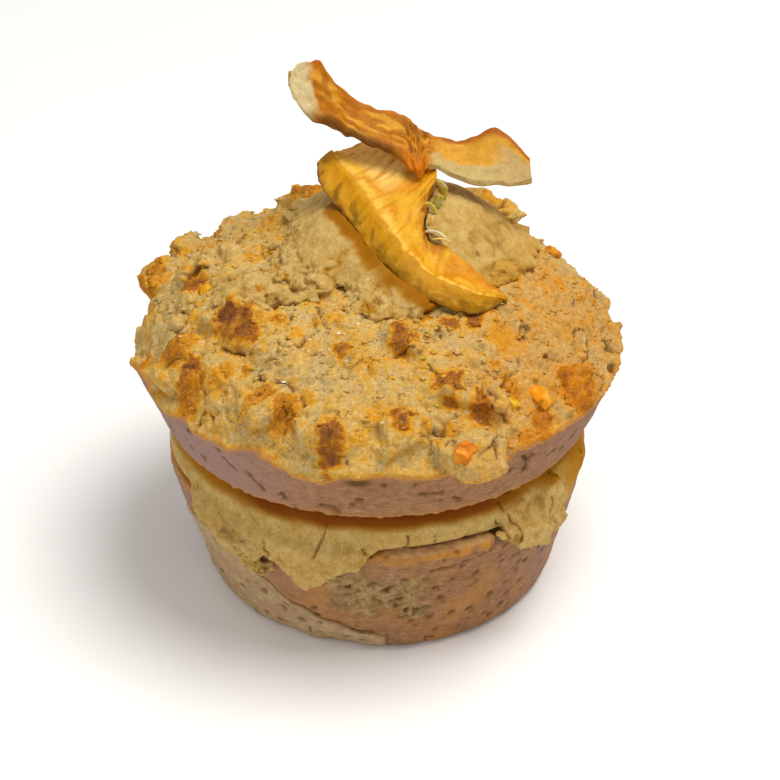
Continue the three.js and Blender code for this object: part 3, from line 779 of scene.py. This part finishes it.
def lower_relief(p, n):
    """Relief and marks of the lower half: skin, torn crumb, the fold and the lip at the top."""
    if p.z < FOOT_EDGE:
        return 0, {"wall": 1, "toned": 0.3}
    angle = turn_of(p)
    fold = read_at(FOLD, angle) if FOLD[0][0] < angle < FOLD[-1][0] else -9
    fold += 0.4 * wave(p, 3, 41)
    fade = ease(angle, FOLD[0][0], FOLD[0][0] + 8) * ease(-angle, -FOLD[-1][0], 8 - FOLD[-1][0])
    below = ease(fold - p.z, 0, 0.5) * fade
    groove = (1 - ease(abs(fold - 0.4 - p.z), 0.1, 0.75)) * fade
    crumb = torn(p, angle)
    share = 0.12 + 0.2 * close_to(angle, -60, 0, 60) + 0.25 * below
    flat = Vector((p.x, p.y, 1.6 * p.z))
    speck = 0.75 * specks(flat, 2.3, share, 5) * (1 - crumb)
    hole = max(speck, holed(p, LOWER_PITS, 0.85), cracked(p, LOWER_CRACKS, 0.42))
    lip = close_to(angle, -73, 13, 17) * ease(p.z - 0.3 * wave(p, 2, 45), 23.4, 24.2)
    pocket = close_to(angle, -55.6, 1.6, 2.8) * ease(p.z, 23.4, 24.4)
    rough = 0.8 * wave(flat, 2.6, 46) + 0.45 * wave(flat, 1.1, 47)
    cut_edge = ease(p.z + 0.5 * wave(p, 2, 45), 24.6, 25.6)
    side = hypot(p.x, p.y) > 30
    # Painted light and shade in these marks: cool is a painted cool reflection toward the left above the
    # fold and toward the right, and also greys the pocket; pale is a painted highlight along the lip's top
    # edge and crumb below the fold painted lighter to make up for the shade on that side; the darkening in
    # the groove under the fold, the low parts of torn crumb and the pocket is painted shade.
    marks = dict(
        wall=1, open=max(0.9 * crumb, 0.7 * pocket, 0.4 * (1 + rough) * below),
        pale=max((0.62 + 0.4 * rough) * below, 0.4 * lip * ease(p.z + 0.4 * wave(p, 1, 49), 25.4, 26)),
        painted_shade=max(groove, (0.15 + ease(-rough, 0.1, 0.6)) * crumb, 0.5 * pocket),
        cool=max(0.55 * ease(-p.x, 8, 34) * (1 - below), 0.45 * ease(p.x, 18, 34), pocket),
        toned=max(0.1 + 0.4 * wave(p, 7, 43) - 0.3 * below, lip * (0.7 + rough), 0.7 * cut_edge),
        pit=hole * (0.75 + 0.5 * wave(p, 4, 50)),
    )
    skin = wall_relief(p) - 0.42 * hole
    clod = clods(flat, 1.3, 48) - 0.5
    out = side * (skin + crumb * (0.8 * rough + 0.5 * clod - 0.3) + below * 0.3 * rough - 0.5 * groove
                  + lip * (0.3 + 0.5 * rough + 0.3 * clod) - 0.7 * pocket)
    return out, marks


def lower_cake():
    made = fused("lower_half", solid_copy("lower_cake"), CAKE_FACE, 1)
    return worked(made, BAKED_MARKS, lower_relief)


# ---- Cream ----

def crumble(p):
    """Broken cream: uneven lumps with a crease here and there, about 0 in the mean."""
    grit = 0.4 * (clods(p, 1.3, 65) - 0.6) + 0.2 * wave(p, 0.7, 53)
    return 0.1 - 0.5 * creases(p, 3.4, 52) + 0.5 * wave(p, 1.9, 54) + grit


def cream_relief(p, crumbly, crack):
    """Spread cream, outwards in mm; `crumbly` and `crack` tell how much of each there is."""
    smear = 0.2 * wave(Vector((p.x, p.y, 2.2 * p.z)), 4.5, 51) + 0.06 * wave(p, 1.1, 55)
    return smear + crumbly * crumble(p) - 0.5 * crack


def filling_relief(p, n):
    """Relief and marks of the cream between the halves, which broke at its front corners."""
    angle = turn_of(p)
    side = ease(hypot(p.x, p.y), 33, 35)
    crack = cracked(p + 0.45 * noise.noise_vector(p / 2.6), CREAM_CRACKS, 0.3) * side
    lobe = 0.9 * close_to(angle, -124, 4, 8) * ease(26 - p.z, -1, 1)
    block = 0.4 * close_to(angle, -41, 11, 16)
    ragged = ease(26.5 - p.z, -1, 1) * 0.5
    crumbly = max(lobe, block, ragged) * side
    shaded = 0.45 + 0.55 * close_to(angle, -92, 30, 50)
    # Painted shadow: a dark amber band at the top of the layer, under the overhang of the upper half,
    # strongest toward the front.
    shadow_band = ease(p.z + 0.5 * wave(p, 6, 56), 30.4, 32.4) * side
    # Painted warm shade on the bulge at the right.
    warm_shadow = ease(angle, -36, -24) * ease(-angle, -70, -30)
    crease = ease(-crumble(p), 0.1, 0.5) * crumbly
    swell = 1.2 * close_to(angle, -21, 4, 11) * close_to(p.z, 28.6, 1, 4)
    # The orange and darkening in creases and cracks are painted shade too.
    amber_and_shade = max(shadow_band, warm_shadow, 0.7 * crease)
    painted_shade = max(crack, 0.5 * crease, shadow_band * shaded, 0.3 * warm_shadow)
    outer = ease(n.x * p.x + n.y * p.y, 0, 8) + ease(n.z, 0.3, 0.8)
    out = min(outer, 1) * (cream_relief(p, crumbly, crack) + swell)
    return out, {"amber_and_shade": amber_and_shade, "painted_shade": painted_shade}


def filling():
    bm = solid_copy("filling")
    draw = Random(23)
    for first, last, low, high, count, least, most in BROKEN_CREAM:
        for _ in range(count):
            height = lerp(low, high, draw.random())
            radius = FOOT_R + LOWER_FLARE * min(height, LOWER_H) + lerp(0.9, 1.7, draw.random())
            size = lerp(least, most, draw.random())
            place = on_wall(lerp(first, last, draw.random()), height, radius)
            add_ball(bm, place, size, (1.1, 1.1, 0.8), 2, 0.6)
    for block in CREAM_BLOCKS:
        add_block(bm, *block)
    made = fused("cream_layer", bm, FILLING_FACE, 1)
    return worked(made, CREAM_MARKS, filling_relief)


def toe(bm, crust, middle, first, last, count, draw):
    """Cream smeared out where a patch ends, from a first to a last angle, so that it meets the crust
    softly."""
    x, y = middle
    heap = BVHTree.FromBMesh(bm)
    for _ in range(count):
        a = radians(draw.uniform(first, last))
        away = 30
        while drop(heap, x + away * cos(a), y + away * sin(a))[0] is None:
            away -= 0.4
        place, normal = drop(crust, x + (away - 0.8) * cos(a), y + (away - 0.8) * sin(a))
        radius = draw.uniform(1.1, 2.5)
        add_ball(bm, place - 0.1 * radius * normal, radius, (1.4, 1.4, 0.75), 2, 0.5)


def mound(crust):
    bm = solid_copy("top_cream")
    draw = Random(31)
    toe(bm, crust, MOUND_AT, -75, 165, 110, draw)
    for x, y, radius in LOBES:
        place, normal = drop(crust, x, y)
        add_ball(bm, place, radius, (1.15, 1, 0.56), 3, 0.6)
        for _ in range(4):
            near = Vector((x, y)) + 1.1 * radius * Vector((draw.uniform(-1, 1), draw.uniform(-1, 1)))
            place, normal = drop(crust, *near)
            add_ball(bm, place + 0.2 * normal, radius * draw.uniform(0.22, 0.5), (1.2, 1, 0.8), 2, 0.6)
    made = fused("cream_mound", bm, CREAM_FACE, 1)
    rind = Edge(LOWER_SLICE["rind"]).line[::20]

    def relief(p, n):
        ground = drop(crust, p.x, p.y)[0]
        thick = p.z - ground.z if ground else 0
        left = ease(-p.x - 0.35 * p.y + 1.2 * wave(p, 6, 57), 0, 5)
        crumbly = left * ease(4.6 + 2 * wave(p, 5, 62) - thick, 0, 2.4)
        right = ease(p.x - 0.3 * p.y + 2 * wave(p, 6, 58), 3, 9)
        ragged = 0.3 * wave(p, 0.8, 59)
        pit = max(1 - ease(hypot(p.x - x, p.y - y) + ragged, 0.3 * r, r) for x, y, r in MOUND_PITS)
        broken = creases(p, 5, 60) * right
        # Painted shadow of the thick slice on the cream beside its rind, orange and dark, wider toward its
        # upper end.
        near = min((q - p).length for q in rind)
        reach = 3.2 + 1.6 * ease(p.z, 69, 72)
        warm_shadow = (1 - ease(near + 0.8 * wave(p, 3, 63), 0.45 * reach, reach)) * ease(-p.x - 0.9 * p.y, -14, -6)
        frill = ease(p.x, 15, 19) * ease(3 - p.y, 0, 4) * ease(3 + wave(p, 3, 64) - thick, 0, 1.5)
        crease = ease(-crumble(p), 0.1, 0.5) * crumbly
        warm = 0.3 * ease(p.x, 8, 30) + 0.3 * ease(-thick, -2, -0.6) * right
        # The orange beside the slice and in creases is painted shade; warm and the frill are the cream's own
        # warmer tone.
        amber_and_shade = max(warm, warm_shadow, crease, 0.6 * frill)
        # Pits, broken cream, creases and the slice's shadow are darkened with painted shade.
        painted_shade = max(0.8 * pit, 0.4 * broken, 0.45 * crease, 0.66 * warm_shadow)
        out = cream_relief(p, max(crumbly, frill), 0.9 * pit + 0.5 * broken)
        return out, {"amber_and_shade": amber_and_shade, "painted_shade": painted_shade}

    return worked(made, CREAM_MARKS, relief)


def dab(crust):
    bm = solid_copy("cream_dab")
    draw = Random(37)
    for x, y, radius in DAB_LOBES:
        place, normal = drop(crust, x, y)
        add_ball(bm, place + 0.3 * radius * normal, radius, (1.2, 1, 0.7), 2, 0.5)
    for _ in range(9):
        x, y, radius = DAB_LOBES[draw.randrange(len(DAB_LOBES))]
        place, normal = drop(crust, x + draw.uniform(-2, 2), y + draw.uniform(-2, 2))
        add_ball(bm, place + 0.2 * normal, draw.uniform(0.4, 0.9), (1.2, 1, 0.8), 1, 0.5)
    toe(bm, crust, DAB_AT, 0, 360, 24, draw)

    def relief(p, n):
        # Creases take painted shade: orange and darker.
        crease = ease(-crumble(p), 0.1, 0.5)
        return cream_relief(p, 0.8, 0), {"amber_and_shade": crease, "painted_shade": 0.4 * crease}

    return worked(fused("cream_dab_spread", bm, CREAM_FACE, 1), CREAM_MARKS, relief)


# ---- Fruit slices ----

CURVE_STEPS = 60


def centripetal(a, b, c, d, t):
    """A point between b and c on the centripetal curve through a, b, c and d."""
    ab, bc, cd = (sqrt((q - p).length) for p, q in ((a, b), (b, c), (c, d)))
    leave = ((b - a) / ab - (c - a) / (ab + bc) + (c - b) / bc) * bc
    arrive = ((c - b) / bc - (d - b) / (bc + cd) + (d - c) / cd) * bc
    square = 3 * (c - b) - 2 * leave - arrive
    cube = 2 * (b - c) + leave + arrive
    return b + leave * t + square * t ** 2 + cube * t ** 3


class Edge:
    """A smooth edge of a slice through a few points."""

    def __init__(self, points):
        p = [Vector(q) for q in points]
        p = [2 * p[0] - p[1], *p, 2 * p[-1] - p[-2]]
        self.line = [
            centripetal(*p[k:k + 4], s / CURVE_STEPS) for k in range(len(p) - 3) for s in range(CURVE_STEPS)
        ]
        self.line.append(p[-2])
        steps = [0] + [(b - a).length for a, b in zip(self.line, self.line[1:])]
        self.run = np.cumsum(steps)

    def at(self, u):
        """The point at u from 0 to 1, where the given points are evenly spaced."""
        s = u * (len(self.line) - 1)
        k = min(int(s), len(self.line) - 2)
        return self.line[k].lerp(self.line[k + 1], s - k)

    def along(self, u):
        """The point at u of the way along the edge."""
        k = np.interp(u * self.run[-1], self.run, np.arange(len(self.run)))
        return self.at(k / (len(self.line) - 1))


def sheet_block(along, across, through):
    """A unit block from 0 to 1, cut into cells."""
    bm = bmesh.new()
    bmesh.ops.create_cube(bm, size=1, matrix=Matrix.Translation((0.5, 0.5, 0.5)))
    for axis, cells in enumerate((along, across, through)):
        edges = [e for e in bm.edges if abs(e.verts[0].co[axis] - e.verts[1].co[axis]) > 0.5]
        bmesh.ops.subdivide_edges(bm, edges=edges, cuts=cells - 1, use_grid_fill=True)
    return bm


def slice_object(name, cells, shape, soften):
    """Bends a block into a slice. `shape` gives a point and its tint for u along, v across, w through."""
    bm = sheet_block(*cells)
    tints = []
    for v in bm.verts:
        place, tint = shape(*v.co)
        v.co = place
        tints.append(tint)
    every_way = {f"use_axis_{axis}": True for axis in "xyz"}
    for _ in range(soften):
        bmesh.ops.smooth_vert(bm, verts=bm.verts, factor=0.5, **every_way)
    bmesh.ops.recalc_face_normals(bm, faces=bm.faces)
    return tinted(new_object(name, bm), tints)


def blend_colours(first, *rest):
    """Mixes screen colours one over another: (colour, share) pairs over the first."""
    total = np.array(srgb(*first))
    for colour, share in rest:
        total = total + (np.array(srgb(*colour)) - total) * min(max(share, 0), 1)
    return total


def lower_slice():
    ridge, rind, cut = (Edge(LOWER_SLICE[name]) for name in ("ridge", "rind", "cut"))

    def shape(u, v, w):
        body = sqrt(sin(pi * min(max(u, 0.02), 0.98)))
        cut_top = cut.along(u)
        cut_low = cut_top + Vector((-0.2, 0.3, -CUT_EDGE_T * lerp(0.5, 1, body)))
        top = ridge.along(u).lerp(cut_top, v)
        top.z -= 1.3 * sin(pi * v) * body
        place = rind.along(u).lerp(cut_low, v).lerp(top, w)
        middle = ridge.along(u).lerp(cut_top, 0.4)
        middle.z = cut_top.z - 0.4 * CUT_EDGE_T
        blunt = sqrt(1 - (1 - min(u / BLUNT_END, 1)) ** 2)
        place = place.lerp(middle, BLUNT_BY * (1 - blunt))
        flat = Vector((u, v, w)) * Vector(LOWER_FLAT)
        side = (1 - v) ** 3
        bulge = RIND_BULGE * sin(pi * w) * side * body
        leather = wave(Vector((flat.x / 1.7, flat.z / 2.6, v)), 1, 61)
        pimple = wave(flat, 1.2, 62)
        place += RIND_FACING * (bulge + side * (0.55 * leather + 0.32 * pimple))
        face = ease(w, 0.7, 1) * ease(v, 0.02, 0.12)
        fibres = wave(Vector((flat.x / 0.9, flat.y / 4, 0)), 1, 63)
        core = ease(v, 0.6, 1) * close_to(u, 0.57, 0.08, 0.17)
        torn_core = core * (0.9 + 0.8 * wave(flat, 1.5, 67))
        place.z += face * (0.24 * fibres + 0.4 * wave(flat, 3, 64) + 0.12 * wave(flat, 1, 68) - torn_core)
        blotch = wave(flat, 3.2, 65)
        # The rind darker toward its lower edge, where it bends under, and darker in the creases of its
        # leather is painted shade.
        rind_tint = blend_colours(
            (222, 158, 24), ((184, 128, 0), ease(u, 0.25, 0.5)),
            ((156, 114, 0), ease(blotch, 0, 0.3) * ease(w, 0, 0.2)),
            ((216, 166, 50), 0.5 * ease(pimple, 0.12, 0.4)), ((140, 96, 0), 0.7 * ease(-leather, 0.1, 0.4)),
            ((206, 144, 4), ease(w, 0.6, 0.9) * 0.8), ((138, 84, 0), 0.9 * ease(0.35 - w, 0, 0.35)),
            ((150, 100, 0), 0.7 * close_to(u, 0.66, 0.08, 0.2) * ease(0.7 - w, 0, 0.3)),
        )
        # The lighter line along the ridge is partly its own yellow and partly a painted highlight; the beige
        # flesh at the upper end is painted lighter to make up for the thin slice's shadow on it.
        face_tint = blend_colours(
            (228, 172, 34), ((220, 146, 6), ease(wave(flat, 2.6, 66), -0.15, 0.3)),
            ((248, 204, 112), ease(0.36 - u, 0, 0.12) * ease(v, 0.22, 0.42)),
            ((246, 200, 84), 0.9 * close_to(v, 0.14, 0, 0.14)),
            ((208, 132, 10), 0.7 * ease(-fibres, 0.1, 0.5)),
            ((176, 88, 4), core * (0.6 + 0.8 * wave(flat, 1, 69))), ((210, 126, 10), 0.6 * ease(v, 0.9, 1)),
        )
        return place, rind_tint + (face_tint - rind_tint) * face

    return slice_object("thick_slice", (230, 56, 22), shape, 2)


def upper_slice():
    front, back = (Edge(UPPER_SLICE[name]) for name in ("front", "back"))

    def shape(u, v, w):
        place = front.at(u).lerp(back.at(u), v)
        lobes = abs(2 * u - 1)
        cupped = 4 * v * (1 - v)
        place.z -= 1.2 * cupped * ease(lobes, 0.2, 0.7)
        thick = THIN_SLICE_T * (1 - 0.5 * (2 * v - 1) ** 4) * (1 - 0.35 * lobes ** 6)
        flat = Vector((u, v, w)) * Vector(UPPER_FLAT)
        fold = wave(Vector((flat.x / 2.6, flat.y / 1.6, 0)), 1, 71)
        pinch = close_to(u, 0.63, 0.03, 0.12)
        place.z += (w - 0.5) * thick + (0.55 + 0.3 * ease(u, 0.6, 0.2)) * fold + pinch * wave(flat, 1.5, 72)
        place.z += 0.22 * wave(flat, 1.4, 75)
        place.y += 0.6 * pinch * wave(flat, 1.1, 73) - 0.4 * ease(0.2 - v, 0, 0.2) * wave(flat, 2.2, 76)
        streak = wave(Vector((flat.x / 6, flat.y, 3)), 1, 74)
        left = ease(0.22 - 0.1 * v - u + 0.03 * fold, -0.02, 0.03)
        right = ease(u, 0.68, 0.76)
        # Painted shade along the front edge of the slice's left middle, where its lower side turns toward
        # the view.
        shaded_underside = ease(0.16 - v, 0, 0.14) * close_to(u, 0.36, 0.1, 0.22)
        tint = blend_colours(
            (192, 118, 2), ((222, 160, 50), ease(streak, 0, 0.35)), ((170, 98, 2), ease(-streak, 0.1, 0.45)),
            ((188, 108, 8), 0.8 * ease(v, 0.74, 0.92)), ((160, 100, 10), 0.6 * ease(-fold, 0.1, 0.4)),
            ((212, 196, 150), left), ((168, 130, 60), left * ease(0.03 - u, 0, 0.02)),
            ((218, 160, 52), right), ((196, 172, 112), right * ease(0.4 - v + 0.2 * fold, -0.1, 0.1)),
            ((192, 162, 106), right * ease(u, 0.88, 0.95) * ease(0.8 - v, 0, 0.1)),
            ((176, 98, 22), right * ease(v, 0.8, 0.93)),
            ((116, 70, 14), 0.7 * pinch * ease(wave(flat, 1.5, 77), 0, 0.3)),
            ((206, 116, 6), pinch * ease(0.3 - v, 0, 0.15)), ((120, 76, 10), shaded_underside),
        )
        return place, tint

    return slice_object("thin_slice", (250, 44, 10), shape, 2)


# ---- Small pieces ----

def crust_crumbs(crust, creams):
    """Crumbs that baked loose on the crust, in the crust's own colours."""
    bm = bmesh.new()
    draw = Random(41)
    placed = 0
    while placed < CRUMBS:
        a, away = radians(360 * draw.random()), 43 * sqrt(draw.random())
        x, y = away * cos(a), away * sin(a)
        radius = lerp(0.16, 0.5, draw.random() ** 2.4)
        place, normal = drop(crust, x, y)
        if place is None or any(drop(cream, x, y)[0] for cream in creams):
            continue
        add_ball(bm, place - 0.1 * radius * normal, radius, (1.5, 1.1, 0.75), 1, 0.8)
        placed += 1
    return worked(new_object("crust_crumbs", bm), BAKED_MARKS, lambda p, n: (0, crust_marks(p, 0.35)))


def tinted(made, colours):
    kept = made.data.attributes.new("tint", "FLOAT_COLOR", "POINT")
    kept.data.foreach_set("color", np.array(colours, np.float32).ravel())
    return made


def fruit_chunks(crust):
    """Baked chunks of fruit that stand in the crust."""
    bm = bmesh.new()
    colours = []
    for x, y, z, size, turn, colour in CHUNKS:
        place, normal, _, _ = crust.find_nearest(Vector((x, y, z)))
        facing = normal.to_track_quat("Z", "Y").to_matrix() @ Matrix.Rotation(radians(turn), 3, "Z")
        block = sheet_block(8, 8, 8)
        for v in block.verts:
            v.co -= Vector((0.5, 0.5, 0.5))
            rounder = v.co.lerp(v.co.normalized() * 0.62, 0.4)
            v.co = facing @ Vector(a * b for a, b in zip(rounder, size)) + place - 0.1 * size[2] * normal
            v.co += 0.45 * noise.noise_vector(v.co / 1.3) + 0.16 * noise.noise_vector(v.co / 0.5)
            shade = wave(v.co, 1.4, 81)
            dark, light = 0.7 * ease(shade, 0.1, 0.5), 0.5 * ease(-shade, 0.1, 0.5)
            colours.append(blend_colours(colour, ((176, 92, 20), dark), ((250, 196, 70), light)))
        chunk = bpy.data.meshes.new("chunk")
        block.to_mesh(chunk)
        block.free()
        bm.from_mesh(chunk)
        bpy.data.meshes.remove(chunk)
    return tinted(new_object("fruit_chunks", bm), colours)


def core_shards():
    """Thin torn bits of seed case in the core of the thick slice."""
    bm = bmesh.new()
    colours = []
    for place, way, lean, length, wide, colour in CORE_SHARDS:
        along = Vector(way).normalized()
        across = along.cross(Vector(lean)).normalized()
        made = bmesh.ops.create_grid(bm, x_segments=9, y_segments=4, size=1)["verts"]
        for v in made:
            u, w = v.co.x, v.co.y
            uneven = 1 + 0.3 * wave(Vector((4 * u, w, place[0])), 1, 82)
            narrow = wide * sqrt(max(1 - abs(u) ** 1.6, 0.03)) * uneven
            curl = across.cross(along) * (0.25 * wide * w * w - 0.12 * length * u * u)
            v.co = Vector(place) + 0.5 * length * u * along + 0.5 * narrow * w * across + curl
            colours.append(blend_colours(colour, ((250, 240, 200), 0.4 * ease(wave(v.co, 0.8, 83), 0, 0.4))))
    made = tinted(new_object("core_shards", bm), colours)
    body = made.modifiers.new("thickness", "SOLIDIFY")
    body.thickness = SHARD_T
    body.offset = 0
    return applied(made)


def bits(name, crust, places, least, most, colours):
    """Specks of sugar or zest that lie on the crust."""
    bm = bmesh.new()
    tints = []
    draw = Random(len(places))
    for x, y in places:
        place, normal = drop(crust, x, y)
        radius = draw.uniform(least, most)
        made = add_ball(bm, place + 0.1 * radius * normal, radius, (1.6, 0.9, 0.6), 1, 0.6)
        tints += [blend_colours(draw.choice(colours))] * len(made)
    return tinted(new_object(name, bm), tints)


def scattered(count, seed):
    """Places spread over the crust outside the cream."""
    draw = Random(seed)
    places = []
    while len(places) < count:
        a, away = radians(360 * draw.random()), lerp(18, 41, draw.random())
        x, y = away * cos(a), away * sin(a)
        if hypot(x - MOUND_AT[0], y - MOUND_AT[1]) > MOUND_CLEAR:
            places.append((x, y))
    return places


# ---- Put together ----

def dress():
    crust = upper_cake()
    ground = surface_tree(crust)
    heap, spread = mound(ground), dab(ground)
    creams = [surface_tree(heap), surface_tree(spread)]
    zest = ZEST + scattered(16, 6)
    sugar = SUGAR + scattered(12, 9)
    finished(crust_crumbs(ground, creams), BAKED, "browned_crust")
    finished(fruit_chunks(ground), THICK_FRUIT, "dried_fruit_thick")
    finished(bits("zest", ground, zest, 0.25, 0.46, [(196, 178, 44), (222, 170, 40), (166, 152, 60)]),
             THICK_FRUIT, "dried_fruit_thick")
    finished(bits("sugar_specks", ground, sugar, 0.14, 0.34, [(250, 244, 236), (246, 226, 206)]),
             THIN_FRUIT, "dried_fruit_thin")
    finished(core_shards(), THIN_FRUIT, "dried_fruit_thin")
    finished(heap, CREAM, "nut_cream", "top_cream")
    finished(spread, CREAM, "nut_cream", "cream_dab")
    finished(crust, BAKED, "browned_crust", "upper_cake")
    finished(lower_cake(), BAKED, "tin_baked_cake", "lower_cake")
    finished(filling(), CREAM, "nut_cream", "filling")
    finished(lower_slice(), THICK_FRUIT, "dried_fruit_thick", "slice_lower")
    finished(upper_slice(), THIN_FRUIT, "dried_fruit_thin", "slice_upper")


dress()


# ---- Floor, lights and camera ----

FLOOR_R = 4  # in metres


def floor():
    bm = bmesh.new()
    bmesh.ops.create_circle(bm, cap_ends=True, segments=64, radius=FLOOR_R)
    made = new_object("floor", bm)
    f = Finish("pale floor", 0.6, 0.2)
    cloud = f.grain(60)
    f.colour(f.ramp(cloud["Fine"], (0, (247, 247, 246)), (1, (250, 250, 249))))
    made.data.materials.append(f.material)


def aimed(name, data, place, target):
    """A light or camera at a place in metres, turned to a target."""
    made = bpy.data.objects.new(name, data)
    made.location = place
    made.rotation_euler = (Vector(target) - made.location).to_track_quat("-Z", "Y").to_euler()
    bpy.context.scene.collection.objects.link(made)
    return made


def soft_light(name, place, size, power, colour):
    data = bpy.data.lights.new(name, "AREA")
    data.shape = "DISK"
    data.size = size
    data.energy = power
    data.color = colour
    aimed(name, data, place, (0, 0, 0.04))


def studio():
    """An even pale sky, a soft window light from above at the right and a weak light from the front left."""
    world = bpy.data.worlds.new("pale studio")
    world.use_nodes = True
    sky = world.node_tree.nodes["Background"].inputs
    sky["Color"].default_value = (1, 0.985, 0.96, 1)
    sky["Strength"].default_value = 0.5
    bpy.context.scene.world = world
    soft_light("window", (0.24, -0.04, 0.8), 0.5, 5.7, (1, 0.975, 0.93))
    soft_light("fill", (-0.3, -0.6, 0.35), 0.6, 0.8, (0.97, 0.98, 1))


def camera():
    """The photograph's view: a long lens that looks down by 34 degrees."""
    data = bpy.data.cameras.new("view")
    data.sensor_width = 36
    data.lens = 106.15
    data.clip_start = 0.01
    bpy.context.scene.camera = aimed("view", data, (0, -0.3555, 0.2715), (0.0023, 0, 0.035))
    bpy.context.scene.view_settings.view_transform = "Standard"


floor()
studio()
camera()
